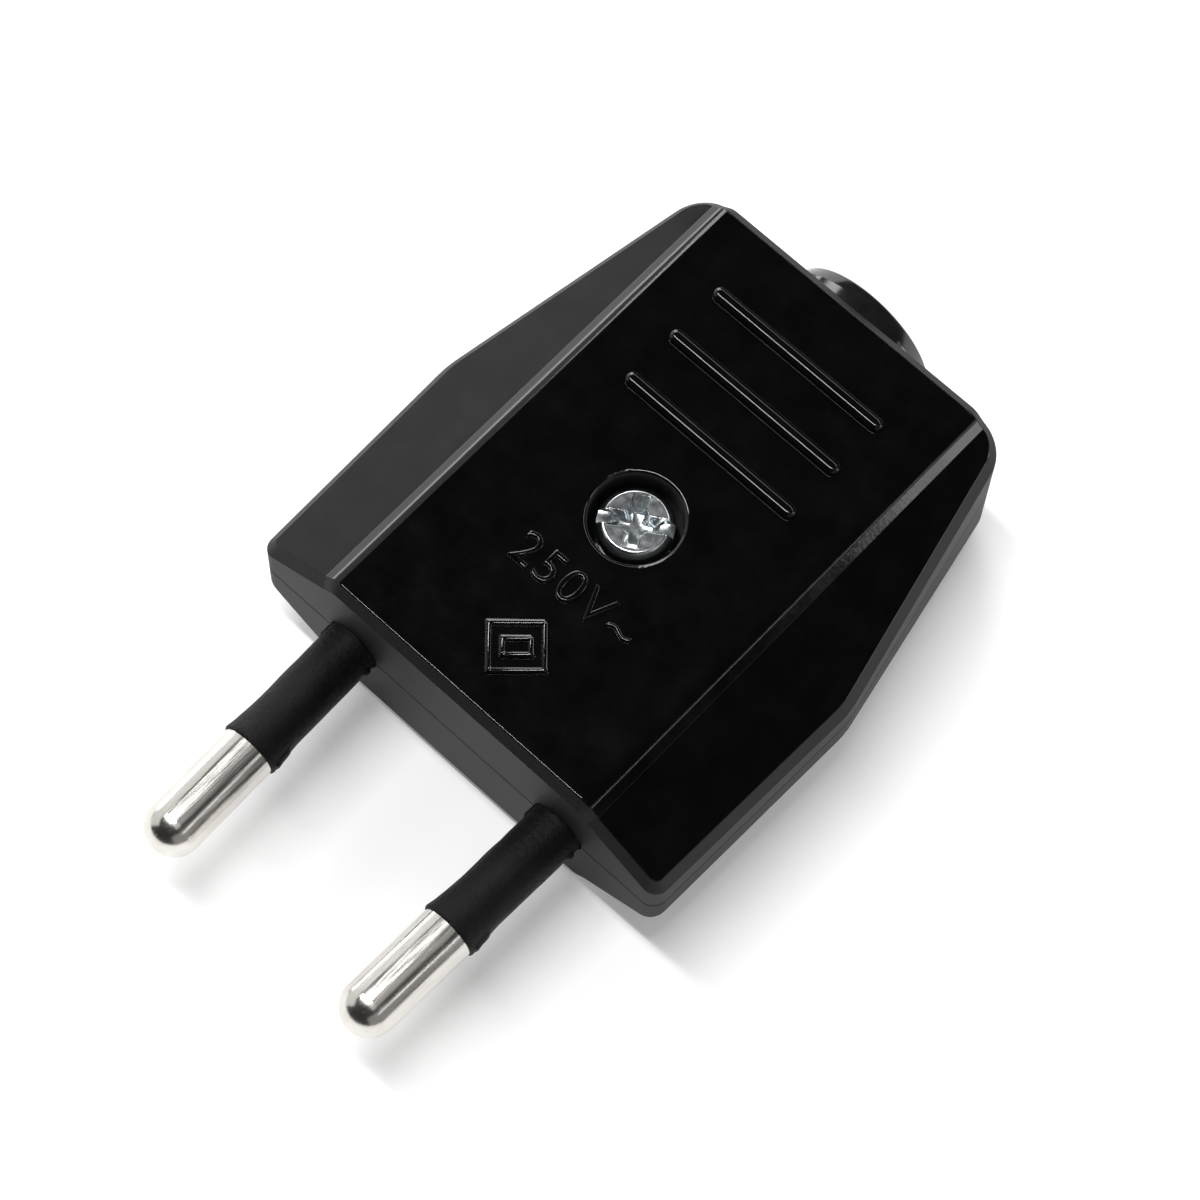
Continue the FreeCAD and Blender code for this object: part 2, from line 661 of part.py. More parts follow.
# Cable bush: outer collar on the rear face, neck in the outlet, flange inside the rear wall.
def make_cable_bush():
    body = new_body("cable_bush", "0", "sizes.body_length")
    half = new_sketch(body, "bush_half", "XY_Plane")
    wall_inside = "-sizes.rear_wall - sizes.seat_clearance"
    inner_end = "-" + BUSH_INSIDE
    polygon(half, [
        (BUSH_BORE, "sizes.bush_length"),
        (BUSH_RADIUS, "sizes.bush_length"),
        (BUSH_RADIUS, "0"),
        (BUSH_NECK, "0"),
        (BUSH_NECK, wall_inside),
        (BUSH_FLANGE, wall_inside),
        (BUSH_FLANGE, inner_end),
        (BUSH_BORE, inner_end),
    ])
    revolve(body, half, "bush_turn", "V_Axis")

    between = size("half_height") - size("bush_inset") - size("bush_wall")

    def at_rear(edge):
        flat = max(vertex.Y for vertex in edge.Vertexes) - min(vertex.Y for vertex in edge.Vertexes) < 1e-4
        return flat and near(edge.BoundBox.YMax, size("bush_length"))

    def at_rim(edge):
        return at_rear(edge) and edge.BoundBox.XMax > between

    def at_mouth(edge):
        return at_rear(edge) and edge.BoundBox.XMax < between
    round_edges(body, "bush_rim", at_rim, "sizes.bush_round")
    round_edges(body, "bush_mouth", at_mouth, "sizes.mouth_round")
    return body


nodes = [
    make_upper_shell(),
    make_lower_shell(),
    make_housing_screw(),
    make_screw_insert(),
    make_pin("pin_left", -1),
    make_pin("pin_right", 1),
    make_sleeve("sleeve_left", -1),
    make_sleeve("sleeve_right", 1),
    make_terminal_screw("terminal_screw_left", -1),
    make_terminal_screw("terminal_screw_right", 1),
    make_cord_clamp(),
    make_clamp_screw("clamp_screw_left", -1),
    make_clamp_screw("clamp_screw_right", 1),
    make_cable_bush(),
]
doc.recompute()

for item in doc.Objects:
    if "Invalid" in item.State or "Error" in item.State:
        raise RuntimeError("%s did not build: %s" % (item.Label, item.State))
for node in nodes:
    if node.Shape.isNull() or not node.Shape.isValid() or len(node.Shape.Solids) != 1:
        raise RuntimeError("%s is not one sound solid" % node.Label)

os.makedirs("parts", exist_ok=True)
for node in nodes:
    node.Shape.exportStep("parts/%s.step" % node.Label)
    print("%-22s %9.2f mm3" % (node.Label, node.Shape.Volume))
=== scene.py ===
# %% [markdown]
# A flat mains plug, dressed for its portrait. The plug was drawn in CAD first, so every piece already has
# its true size and place. This lesson loads that frame, gives each piece the finish of the real thing, and
# models by hand the few pieces whose small forms make the plug look made and used: the recess in the
# screw, the tapered collar at the cord's outlet, the soft sleeves on the pins, and the raised marks on the
# panel.

# %% Load the frame
import math
import bpy
from mathutils import Matrix, Vector


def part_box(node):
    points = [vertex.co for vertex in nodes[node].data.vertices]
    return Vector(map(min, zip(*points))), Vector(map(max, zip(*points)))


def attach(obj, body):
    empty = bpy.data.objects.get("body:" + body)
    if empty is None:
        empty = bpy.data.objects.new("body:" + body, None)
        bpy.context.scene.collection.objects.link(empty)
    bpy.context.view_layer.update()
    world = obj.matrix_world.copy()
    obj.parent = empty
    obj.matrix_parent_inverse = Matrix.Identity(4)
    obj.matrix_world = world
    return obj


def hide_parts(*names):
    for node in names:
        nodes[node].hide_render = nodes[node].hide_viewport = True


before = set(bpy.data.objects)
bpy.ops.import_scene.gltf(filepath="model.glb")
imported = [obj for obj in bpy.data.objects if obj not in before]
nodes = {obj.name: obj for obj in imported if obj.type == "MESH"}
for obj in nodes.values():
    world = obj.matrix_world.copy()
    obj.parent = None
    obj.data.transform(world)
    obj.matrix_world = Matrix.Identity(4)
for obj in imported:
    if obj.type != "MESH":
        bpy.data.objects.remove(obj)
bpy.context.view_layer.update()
MM = 0.001

# %% [markdown]
# Some places are used again and again: the height of the panel, the parting plane between the halves, the
# front face that the pins come out of, and the middle of the screw. They are read from the frame's boxes,
# so that the pieces stay on the plug when its sizes change. Two things that no box tells, how thick one
# half is below its ribs and how the pins stand, are written down here.

# %% Places on the plug
shell_low, shell_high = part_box("upper_shell")
screw_low, screw_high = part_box("housing_screw")
HALF_HEIGHT = 6.85 * MM
PARTING = shell_low.z
PANEL = PARTING + HALF_HEIGHT
FRONT = shell_low.y
REAR = shell_high.y
SCREW_Y = (screw_low.y + screw_high.y) / 2
PIN_ROOT = 9.2 * MM
PIN_LEAN = math.radians(1.45)
print("front", round(FRONT / MM, 2), "parting", round(PARTING / MM, 2), "panel", round(PANEL / MM, 2))

# %% [markdown]
# The camera comes first, because every finish is judged through it. The photograph was taken from high
# above the front right corner with a long lens. A camera's axes are the columns of its matrix: right, up,
# and back towards the photographer. Writing them down is surer than turning the camera by three angles.

# %% Camera
camera_data = bpy.data.cameras.new("camera")
camera_data.sensor_width = 36.0
camera_data.lens = 120.12
camera_data.clip_start = 0.01
camera_data.clip_end = 20.0
camera = bpy.data.objects.new("camera", camera_data)
bpy.context.scene.collection.objects.link(camera)
right = Vector((0.73143, 0.68161, 0.02054))
up = Vector((-0.63694, 0.67211, 0.37760))
back = Vector((0.24357, -0.28927, 0.92574))
place = Vector((0.064854, -0.073752, 0.251813))
camera.matrix_world = Matrix((
    (right.x, up.x, back.x, place.x),
    (right.y, up.y, back.y, place.y),
    (right.z, up.z, back.z, place.z),
    (0.0, 0.0, 0.0, 1.0),
))
bpy.context.scene.camera = camera
print("camera at", [round(c, 4) for c in place], "lens", camera_data.lens)


# %% [markdown]
# A finish is a small network of nodes around one shader. These helpers keep each network short: one starts
# a material and sets what is constant in it, one adds a node, one joins an output to an input, and one
# puts the material on pieces of the frame.

# %% Helpers for finishes: materials and nodes
def shader_socket(finish, socket):
    return finish.node_tree.nodes["Principled BSDF"].inputs[socket]


def new_finish(name, constants):
    finish = bpy.data.materials.new(name)
    finish.use_nodes = True
    for socket, value in constants.items():
        shader_socket(finish, socket).default_value = value
    return finish


def add_node(finish, kind, **values):
    node = finish.node_tree.nodes.new(kind)
    for name, value in values.items():
        label = name.replace("_", " ").title()
        if label in node.inputs:
            node.inputs[label].default_value = value
        else:
            setattr(node, name, value)
    return node


def join(finish, output, target):
    finish.node_tree.links.new(output, target)


def put_on(finish, *names):
    for name in names:
        nodes[name].data.materials.clear()
        nodes[name].data.materials.append(finish)
    print(finish.name, "is on", ", ".join(names))


print("helpers for materials are ready")


# %% [markdown]
# Nothing real has one even colour or shine, so a pattern drives them. Patterns read Object coordinates, in
# metres, so a scale of 1000 makes a pattern about a millimetre across. A ramp turns the pattern's values
# into greys or colours for a socket of the shader, and a bump turns them into small heights.

# %% Helpers for finishes: patterns
def coordinates(finish, stretch=(1.0, 1.0, 1.0)):
    source = add_node(finish, "ShaderNodeTexCoord")
    mapping = add_node(finish, "ShaderNodeMapping", scale=stretch)
    join(finish, source.outputs["Object"], mapping.inputs["Vector"])
    return mapping.outputs["Vector"]


def noise(finish, vector, scale, detail=3.0, roughness=0.5):
    pattern = add_node(finish, "ShaderNodeTexNoise", scale=scale, detail=detail, roughness=roughness)
    join(finish, vector, pattern.inputs["Vector"])
    return pattern.outputs["Fac"]


def grey(value):
    return (value, value, value)


def ramp(finish, value, stops):
    node = add_node(finish, "ShaderNodeValToRGB")
    for element, (position, colour) in zip(node.color_ramp.elements, stops):
        element.position = position
        element.color = (*colour, 1.0)
    join(finish, value, node.inputs["Fac"])
    return node.outputs["Color"]


def drive(finish, socket, pattern, stops):
    join(finish, ramp(finish, pattern, stops), shader_socket(finish, socket))


def bump(finish, height, strength, distance, before=None):
    node = add_node(finish, "ShaderNodeBump", strength=strength, distance=distance)
    join(finish, height, node.inputs["Height"])
    if before is not None:
        join(finish, before, node.inputs["Normal"])
    return node.outputs["Normal"]


print("helpers for patterns are ready")

# %% [markdown]
# The housing is black thermoset, pressed in a polished mould. It is almost a mirror, but not quite: the
# skin has a very faint long wave, and dull patches where hands have touched it. A noise of a few
# millimetres drives the colour and the polish, and two small bumps make the reflections of straight edges
# waver a little.

# %% Housing finish: colour and skin
housing = new_finish("housing_gloss", {"IOR": 1.42})
spots = noise(housing, coordinates(housing), scale=420.0, detail=4.0, roughness=0.6)
drive(housing, "Base Color", spots, [(0.3, (0.0012, 0.0012, 0.0014)), (0.75, (0.0026, 0.0026, 0.0029))])
polish = ramp(housing, spots, [(0.35, grey(0.07)), (0.7, grey(0.12))])
long_waves = noise(housing, coordinates(housing), scale=170.0, detail=1.0)
fine_grain = noise(housing, coordinates(housing), scale=3800.0, detail=2.0)
wave = bump(housing, long_waves, strength=0.06, distance=0.4 * MM)
skin = bump(housing, fine_grain, strength=0.05, distance=0.04 * MM, before=wave)
join(housing, skin, shader_socket(housing, "Normal"))
put_on(housing, "upper_shell", "lower_shell")

# %% [markdown]
# The upright walls, and the rim above them, look satin in the photograph, perhaps because they slide along
# the mould when the half is pressed out. So the roughness asks how far a face looks up or down: up to
# STEEP it is satin, and from SLOPING on it has the full polish. The ribs and marks that rise above the
# panel look glossier, so their steep sides get less than half of the satin.

# %% Housing finish: satin walls
STEEP = 0.715
SLOPING = 0.75
WALL_ROUGHNESS = 0.60
SHARE_ABOVE_PANEL = 0.45
STEP_AT_PANEL = 0.02 * MM


def z_part(finish, output):
    source = add_node(finish, "ShaderNodeTexCoord")
    parts = add_node(finish, "ShaderNodeSeparateXYZ")
    join(finish, source.outputs[output], parts.inputs["Vector"])
    return parts.outputs["Z"]


def calculate(finish, operation, *values):
    node = add_node(finish, "ShaderNodeMath", operation=operation)
    for value, socket in zip(values, node.inputs):
        join(finish, value, socket)
    return node.outputs["Value"]


facing = calculate(housing, "ABSOLUTE", z_part(housing, "Normal"))
satin = ramp(housing, facing, [(STEEP, grey(WALL_ROUGHNESS)), (SLOPING, grey(0.0))])
share = add_node(housing, "ShaderNodeMapRange",
                 from_min=PANEL - STEP_AT_PANEL, from_max=PANEL + STEP_AT_PANEL,
                 to_min=1.0, to_max=SHARE_ABOVE_PANEL)
join(housing, z_part(housing, "Object"), share.inputs["Value"])
wall = calculate(housing, "MULTIPLY", satin, share.outputs["Result"])
join(housing, calculate(housing, "MAXIMUM", polish, wall), shader_socket(housing, "Roughness"))
print("faces steeper than", round(math.degrees(math.acos(STEEP))), "degrees are satin")

# %% [markdown]
# The bush at the cord's outlet is moulded from a tougher plastic, as shiny as the housing. The clamp
# inside is a plain satin moulding that nobody sees unless the plug is opened.

# %% Bush and clamp finishes
bush_gloss = new_finish("bush_gloss", {"IOR": 1.52})
streaks = noise(bush_gloss, coordinates(bush_gloss), scale=700.0)
drive(bush_gloss, "Base Color", streaks, [(0.3, grey(0.006)), (0.7, grey(0.010))])
drive(bush_gloss, "Roughness", streaks, [(0.3, grey(0.09)), (0.7, grey(0.16))])

clamp_satin = new_finish("clamp_satin", {})
grain = noise(clamp_satin, coordinates(clamp_satin), scale=1500.0)
drive(clamp_satin, "Base Color", grain, [(0.3, grey(0.020)), (0.7, grey(0.032))])
drive(clamp_satin, "Roughness", grain, [(0.3, grey(0.40)), (0.7, grey(0.55))])
put_on(clamp_satin, "cord_clamp")

# %% [markdown]
# The pins are brass with bright nickel on it. Nickel is a little warm beside chrome. The pins were drawn
# and tumbled, which leaves hair-fine scratches along them, so the noise is stretched: many changes across
# the pin, few along it. The same noise dulls the shine and lifts a very small bump.

# %% Nickel finish
nickel = new_finish("pin_nickel", {"Metallic": 1.0})
hairs = noise(nickel, coordinates(nickel, (1.0, 0.035, 1.0)), scale=9000.0, detail=3.0, roughness=0.6)
tarnish = noise(nickel, coordinates(nickel, (1.0, 0.3, 1.0)), scale=900.0, detail=4.0, roughness=0.6)
drive(nickel, "Base Color", tarnish, [(0.3, (0.66, 0.63, 0.59)), (0.7, (0.78, 0.755, 0.715))])
drive(nickel, "Roughness", hairs, [(0.35, grey(0.15)), (0.75, grey(0.30))])
join(nickel, bump(nickel, hairs, strength=0.10, distance=0.02 * MM), shader_socket(nickel, "Normal"))
put_on(nickel, "pin_left", "pin_right")

# %% [markdown]
# The screws are steel with bright zinc. Zinc is bluer than nickel and its crystals show as soft patches,
# so both the colour and the shine follow a cloudy noise. The insert is plain turned brass.

# %% Zinc and brass finishes
zinc = new_finish("screw_zinc", {"Metallic": 1.0})
patches = noise(zinc, coordinates(zinc), scale=1800.0, detail=4.0, roughness=0.65)
drive(zinc, "Base Color", patches, [(0.3, (0.50, 0.53, 0.55)), (0.7, (0.64, 0.67, 0.68))])
drive(zinc, "Roughness", patches, [(0.3, grey(0.16)), (0.75, grey(0.25))])
join(zinc, bump(zinc, patches, strength=0.06, distance=0.06 * MM), shader_socket(zinc, "Normal"))
put_on(zinc, "terminal_screw_left", "terminal_screw_right", "clamp_screw_left", "clamp_screw_right")

brass = new_finish("insert_brass", {"Metallic": 1.0})
turned = noise(brass, coordinates(brass, (1.0, 1.0, 8.0)), scale=1200.0, detail=2.0)
drive(brass, "Base Color", turned, [(0.3, (0.62, 0.44, 0.18)), (0.7, (0.74, 0.56, 0.28))])
drive(brass, "Roughness", turned, [(0.3, grey(0.2)), (0.7, grey(0.35))])
put_on(brass, "screw_insert")

# %% [markdown]
# The sleeves are a soft matte plastic, moulded straight onto the pins. Their skin is grained, with long
# shallow sink marks, and they hardly shine.

# %% Sleeve finish
sleeve_matte = new_finish("sleeve_matte", {"Specular IOR Level": 0.14})
grain = noise(sleeve_matte, coordinates(sleeve_matte), scale=3200.0, detail=4.0, roughness=0.65)
drive(sleeve_matte, "Base Color", grain, [(0.3, grey(0.0014)), (0.75, grey(0.0036))])
drive(sleeve_matte, "Roughness", grain, [(0.3, grey(0.45)), (0.75, grey(0.62))])
long_noise = noise(sleeve_matte, coordinates(sleeve_matte, (1.0, 0.4, 1.0)), scale=500.0, detail=2.0)
sinks = bump(sleeve_matte, long_noise, strength=0.25, distance=0.3 * MM)
pores = bump(sleeve_matte, grain, strength=0.70, distance=0.12 * MM, before=sinks)
join(sleeve_matte, pores, shader_socket(sleeve_matte, "Normal"))
print("sleeve finish is ready")


# %% [markdown]
# New pieces are modelled with Blender's own tools, as at the desk. Each starts from a primitive. An
# operator acts on whatever is selected, so the first helpers clear the selection or choose one piece, and
# pick selects the faces, edges or vertices whose place passes a test.

# %% Helpers for modelling: selecting
NEAR = 0.001 * MM
STRAIGHT = 0.9


def start_piece(name):
    piece = bpy.context.object
    piece.name = name
    piece.data.name = name
    return piece


def clear_selection():
    if bpy.context.object is not None and bpy.context.object.mode != "OBJECT":
        bpy.ops.object.mode_set(mode="OBJECT")
    bpy.ops.object.select_all(action="DESELECT")


def choose(piece):
    clear_selection()
    piece.select_set(True)
    bpy.context.view_layer.objects.active = piece


def measured(mesh, kind):
    """Pairs each element with what its test is given, such as a face's middle and normal."""
    if kind == "FACE":
        return [(face, (face.center, face.normal)) for face in mesh.polygons]
    if kind == "VERT":
        return [(vertex, (vertex.co,)) for vertex in mesh.vertices]
    ends = [(edge, *(mesh.vertices[i].co for i in edge.vertices)) for edge in mesh.edges]
    return [(edge, ((a + b) / 2, b - a)) for edge, a, b in ends]


def pick(piece, kind, test):
    """Selects the elements that pass the test, stays in edit mode and returns how many they are."""
    bpy.ops.object.mode_set(mode="EDIT")
    bpy.ops.mesh.select_mode(type=kind)
    bpy.ops.mesh.select_all(action="DESELECT")
    bpy.ops.object.mode_set(mode="OBJECT")
    count = 0
    for element, measures in measured(piece.data, kind):
        element.select = test(*measures)
        count += element.select
    bpy.ops.object.mode_set(mode="EDIT")
    return count


print("helpers for selecting are ready")


# %% [markdown]
# A finished piece gets its origin back in the middle of the plug, where the frame's own pieces have
# theirs. Gentle edges are shaded smooth and sharp ones stay sharp; weighted normals keep large faces flat
# right up to their bevels. Then the piece gets its finish, rides on the plug's one body and is told its
# material slot.

# %% Helper for modelling: finishing
def finish_piece(piece, finish, smooth_angle):
    choose(piece)
    bpy.ops.object.transform_apply(location=True, rotation=True, scale=True)
    bpy.ops.object.shade_smooth_by_angle(angle=math.radians(smooth_angle))
    weighted = piece.modifiers.new("weighted", "WEIGHTED_NORMAL")
    weighted.keep_sharp = True
    bpy.ops.object.modifier_apply(modifier="weighted")
    piece.data.materials.clear()
    piece.data.materials.append(finish)
    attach(piece, "root")
    print(piece.name, "faces:", len(piece.data.polygons))


print("helper for finishing is ready")

# %% [markdown]
# The screw has a pan head with a combined recess: a cross with round petals between its arms, and a slot
# that runs right over the head. The head starts as a cylinder. Its top rim gets a round bevel, which makes
# the pan, and its underside is inset and extruded down for the shank and the threaded end.

# %% Screw: head and shank
HEAD_SIDES = 96
HEAD_RADIUS = 2.6 * MM
HEAD_LOW = PANEL - 2.5 * MM
HEAD_HEIGHT = 2.0 * MM
HEAD_TOP = HEAD_LOW + HEAD_HEIGHT
HEAD_ROUND = 0.50 * MM
HEAD_PROFILE = 0.32
SHANK_RADIUS = 1.5 * MM
SHANK_LOW = PARTING + 0.15 * MM
CORE_RADIUS = 1.23 * MM


def extrude(x, y, z):
    bpy.ops.mesh.extrude_region_move(TRANSFORM_OT_translate={"value": (x, y, z)})


clear_selection()
bpy.ops.mesh.primitive_cylinder_add(vertices=HEAD_SIDES, radius=HEAD_RADIUS, depth=HEAD_HEIGHT,
                                    location=(0.0, SCREW_Y, HEAD_LOW + HEAD_HEIGHT / 2))
screw = start_piece("housing_screw_head")
bpy.ops.object.transform_apply(location=True, rotation=True, scale=True)
pick(screw, "EDGE", lambda middle, run: middle.z > HEAD_TOP - NEAR)
bpy.ops.mesh.bevel(offset=HEAD_ROUND, segments=5, profile=HEAD_PROFILE, affect="EDGES")
pick(screw, "FACE", lambda middle, normal: normal.z < -STRAIGHT)
bpy.ops.mesh.inset(thickness=HEAD_RADIUS - SHANK_RADIUS)
extrude(0.0, 0.0, SHANK_LOW - HEAD_LOW)
bpy.ops.mesh.inset(thickness=SHANK_RADIUS - CORE_RADIUS)
extrude(0.0, 0.0, screw_low.z - SHANK_LOW)
bpy.ops.object.mode_set(mode="OBJECT")
print("screw blank faces:", len(screw.data.polygons))

# %% [markdown]
# The recess is cut with other shapes. Two boxes cross each other, a union makes them one, and the four
# inner corners get a round bevel, which leaves the petals. The lower end of this cross is drawn in
# strongly, because the driver's tip is tapered, and the sloping walls are what catches the light. A long
# shallow box makes the slot. First come the tools for it: a box, and a way to add one piece to another or
# take it away.

# %% Screw: tools for the recess
SLOT_LENGTH = 5.4 * MM
SLOT_WIDTH = 0.95 * MM
SLOT_DEPTH = 0.50 * MM
CROSS_LENGTH = 4.3 * MM
CROSS_WIDTH = 1.30 * MM
CROSS_DEPTH = 1.35 * MM
CROSS_TAPER = 0.50
PETAL_ROUND = 0.50 * MM
ABOVE_HEAD = 0.4 * MM


def box_tool(name, length, width, depth):
    clear_selection()
    size = (length, width, depth + ABOVE_HEAD)
    bpy.ops.mesh.primitive_cube_add(size=1.0, location=(0.0, 0.0, 0.0), scale=size)
    tool = start_piece(name)
    bpy.ops.object.transform_apply(location=True, rotation=True, scale=True)
    return tool


def combine(target, other, operation):
    choose(target)
    step = target.modifiers.new("combine", "BOOLEAN")
    step.operation = operation
    step.solver = "EXACT"
    step.object = other
    bpy.ops.object.modifier_apply(modifier="combine")
    bpy.data.objects.remove(other)


def at_inner_corner(middle, run):
    beside_one = abs(abs(middle.x) - CROSS_WIDTH / 2) < NEAR
    beside_other = abs(abs(middle.y) - CROSS_WIDTH / 2) < NEAR
    return beside_one and beside_other and abs(run.z) > CROSS_DEPTH / 2


cross = box_tool("cross_tool", CROSS_LENGTH, CROSS_WIDTH, CROSS_DEPTH)
combine(cross, box_tool("cross_arm", CROSS_WIDTH, CROSS_LENGTH, CROSS_DEPTH), "UNION")
corners = pick(cross, "EDGE", at_inner_corner)
bpy.ops.mesh.bevel(offset=PETAL_ROUND, segments=6, profile=0.5, affect="EDGES")
pick(cross, "VERT", lambda co: co.z < 0.0)
bpy.ops.transform.resize(value=(CROSS_TAPER, CROSS_TAPER, 1.0))
print("inner corners rounded:", corners)

# %% [markdown]
# Both tools are turned to the angle at which the screw was left, sunk into the head and taken away from
# it. A small bevel on every sharp edge ends the screw, because no stamped edge is truly sharp, and an edge
# without a bevel never shines.

# %% Screw: recess and edges
RECESS_TURN = math.radians(31.0)
EDGE_SOFT = 0.06 * MM
SHARP_EDGE = math.radians(38.0)


def cut_recess(tool, depth):
    bpy.ops.object.mode_set(mode="OBJECT")
    tool.rotation_euler = (0.0, 0.0, RECESS_TURN)
    tool.location = (0.0, SCREW_Y, HEAD_TOP - (depth - ABOVE_HEAD) / 2)
    bpy.context.view_layer.update()
    combine(screw, tool, "DIFFERENCE")


cut_recess(cross, CROSS_DEPTH)
cut_recess(box_tool("slot_tool", SLOT_LENGTH, SLOT_WIDTH, SLOT_DEPTH), SLOT_DEPTH)
choose(screw)
soften = screw.modifiers.new("soften", "BEVEL")
soften.width = EDGE_SOFT
soften.segments = 2
soften.limit_method = "ANGLE"
soften.angle_limit = SHARP_EDGE
bpy.ops.object.modifier_apply(modifier="soften")
finish_piece(screw, zinc, smooth_angle=35.0)
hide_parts("housing_screw")

# %% [markdown]
# Collar and sleeves are round, so each is spun from one half of its section. A plane loses all but one of
# its corners, and that corner is extruded from point to point around the outline, whose points are
# millimetres along the Y axis and out from it. Spinning the outline once around that axis makes the skin.
# The first and last rows meet, so they are merged, and the faces are turned outwards.

# %% Helper: spin an outline
MERGE = 0.002 * MM


def spin_outline(name, outline, steps):
    clear_selection()
    bpy.ops.mesh.primitive_plane_add(size=2 * MM, location=(0.0, 0.0, 0.0))
    piece = start_piece(name)
    pick(piece, "VERT", lambda co: not (co.x < 0.0 and co.y < 0.0))
    bpy.ops.mesh.delete(type="VERT")
    bpy.ops.mesh.select_all(action="SELECT")
    corner = Vector((-1.0, -1.0, 0.0)) * MM
    start = Vector((0.0, *outline[0])) * MM
    bpy.ops.transform.translate(value=start - corner)
    for (y_from, r_from), (y_to, r_to) in zip(outline, outline[1:]):
        extrude(0.0, (y_to - y_from) * MM, (r_to - r_from) * MM)
    bpy.ops.mesh.select_all(action="SELECT")
    bpy.ops.mesh.spin(steps=steps, angle=2 * math.pi, center=(0.0, 0.0, 0.0), axis=(0.0, 1.0, 0.0))
    bpy.ops.mesh.select_all(action="SELECT")
    bpy.ops.mesh.remove_doubles(threshold=MERGE)
    bpy.ops.mesh.normals_make_consistent(inside=False)
    bpy.ops.object.mode_set(mode="OBJECT")
    return piece


print("spinning helper is ready")

# %% [markdown]
# The collar of the bush tapers towards its end, with a crisp line where the taper begins. Inside the rear
# wall it has a neck and a flange that keep it in place. Its length and its width come from the frame, and
# its outline starts at the inner end of the bore.

# %% Collar: outline and spin
bush_low, bush_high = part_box("cable_bush")
COLLAR_END = (bush_high.y - REAR) / MM
COLLAR_RADIUS = bush_high.x / MM
COLLAR_TIP = COLLAR_RADIUS - 0.5
COLLAR_BORE = 3.3
TAPER_START = 0.75
NECK_RADIUS = 4.3
FLANGE_RADIUS = 5.05
FLANGE_LOW = (bush_low.y - REAR) / MM
FLANGE_HIGH = FLANGE_LOW + 1.6
COLLAR_OUTLINE = (
    (FLANGE_LOW, COLLAR_BORE), (FLANGE_LOW, FLANGE_RADIUS), (FLANGE_HIGH, FLANGE_RADIUS),
    (FLANGE_HIGH, NECK_RADIUS), (0.0, NECK_RADIUS), (0.0, COLLAR_RADIUS), (TAPER_START, COLLAR_RADIUS),
    (COLLAR_END, COLLAR_TIP), (COLLAR_END, COLLAR_BORE), (FLANGE_LOW, COLLAR_BORE),
)
collar = spin_outline("bush_collar", COLLAR_OUTLINE, steps=96)
print("collar stands out", round(COLLAR_END, 2), "mm and is", round(2 * COLLAR_RADIUS, 2), "mm across")

# %% [markdown]
# The rims of the end face and of the mouth are rounded by a bevel on the two rings of edges that lie on
# the end face. An edge belongs to a ring when its middle has the ring's radius and it doesn't run along
# the axis.

# %% Collar: rims
TIP_ROUND = 0.25 * MM
MOUTH_ROUND = 0.4 * MM
RING_NEAR = 0.01


def end_ring(radius):
    def test(middle, run):
        at_end = abs(middle.y / MM - COLLAR_END) < RING_NEAR
        on_ring = abs(math.hypot(middle.x, middle.z) / MM - radius) < RING_NEAR
        return at_end and on_ring and abs(run.y) < NEAR
    return test


for radius, rounding in ((COLLAR_TIP, TIP_ROUND), (COLLAR_BORE, MOUTH_ROUND)):
    count = pick(collar, "EDGE", end_ring(radius))
    bpy.ops.mesh.bevel(offset=rounding, segments=6, profile=0.5, affect="EDGES")
    print("edges rounded on a rim of the collar:", count)
bpy.ops.object.mode_set(mode="OBJECT")
collar.location = (0.0, REAR, PARTING)
finish_piece(collar, bush_gloss, smooth_angle=18.0)
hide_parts("cable_bush")

# %% [markdown]
# A sleeve is moulded onto its pin: it swells a little towards the cut end and is never quite straight. Its
# outline runs up the flange that holds the sleeve in the housing, along the outside in even rows, over the
# rounded end and back along the pin.

# %% Sleeve: outline and spin
SLEEVE_BORE = 1.53
SLEEVE_BACK = 3.9
ROW_START = -0.5
ROW_STEP = -0.7
ROW_RADII = (1.95, 1.95, 1.96, 1.96, 1.97, 1.97, 1.97, 1.96, 1.96, 1.96, 1.97)
SLEEVE_FLANGE = ((SLEEVE_BACK, SLEEVE_BORE), (SLEEVE_BACK, 3.0), (2.7, 3.0), (2.7, 1.96), (0.2, 1.96))
SLEEVE_ROWS = tuple((ROW_START + i * ROW_STEP, radius) for i, radius in enumerate(ROW_RADII))
SLEEVE_SWELL = ((-8.1, 1.99), (-8.6, 2.02), (-9.05, 2.06), (-9.4, 2.10), (-9.7, 2.14))
SLEEVE_END = ((-9.87, 2.15), (-9.96, 2.12), (-9.99, 2.05), (-9.99, SLEEVE_BORE), (SLEEVE_BACK, SLEEVE_BORE))
SLEEVE_OUTLINE = SLEEVE_FLANGE + SLEEVE_ROWS + SLEEVE_SWELL + SLEEVE_END
sleeve = spin_outline("sleeve_skin_left", SLEEVE_OUTLINE, steps=72)
print("sleeve faces:", len(sleeve.data.polygons))

# %% [markdown]
# Now the small faults that make it real. Clouds of about a millimetre push the skin in and out by a few
# hundredths, which leaves soft dents. A vertex group keeps them off the ends and off the bore.

# %% Sleeve: dents
SKIN_START = -9.95 * MM
SKIN_END = -0.2 * MM
SKIN_INSIDE = 1.8 * MM
DENT_SIZE = 1.1 * MM
DENT_DEPTH = 0.08 * MM


def on_skin(co):
    return SKIN_START < co.y < SKIN_END and math.hypot(co.x, co.z) > SKIN_INSIDE


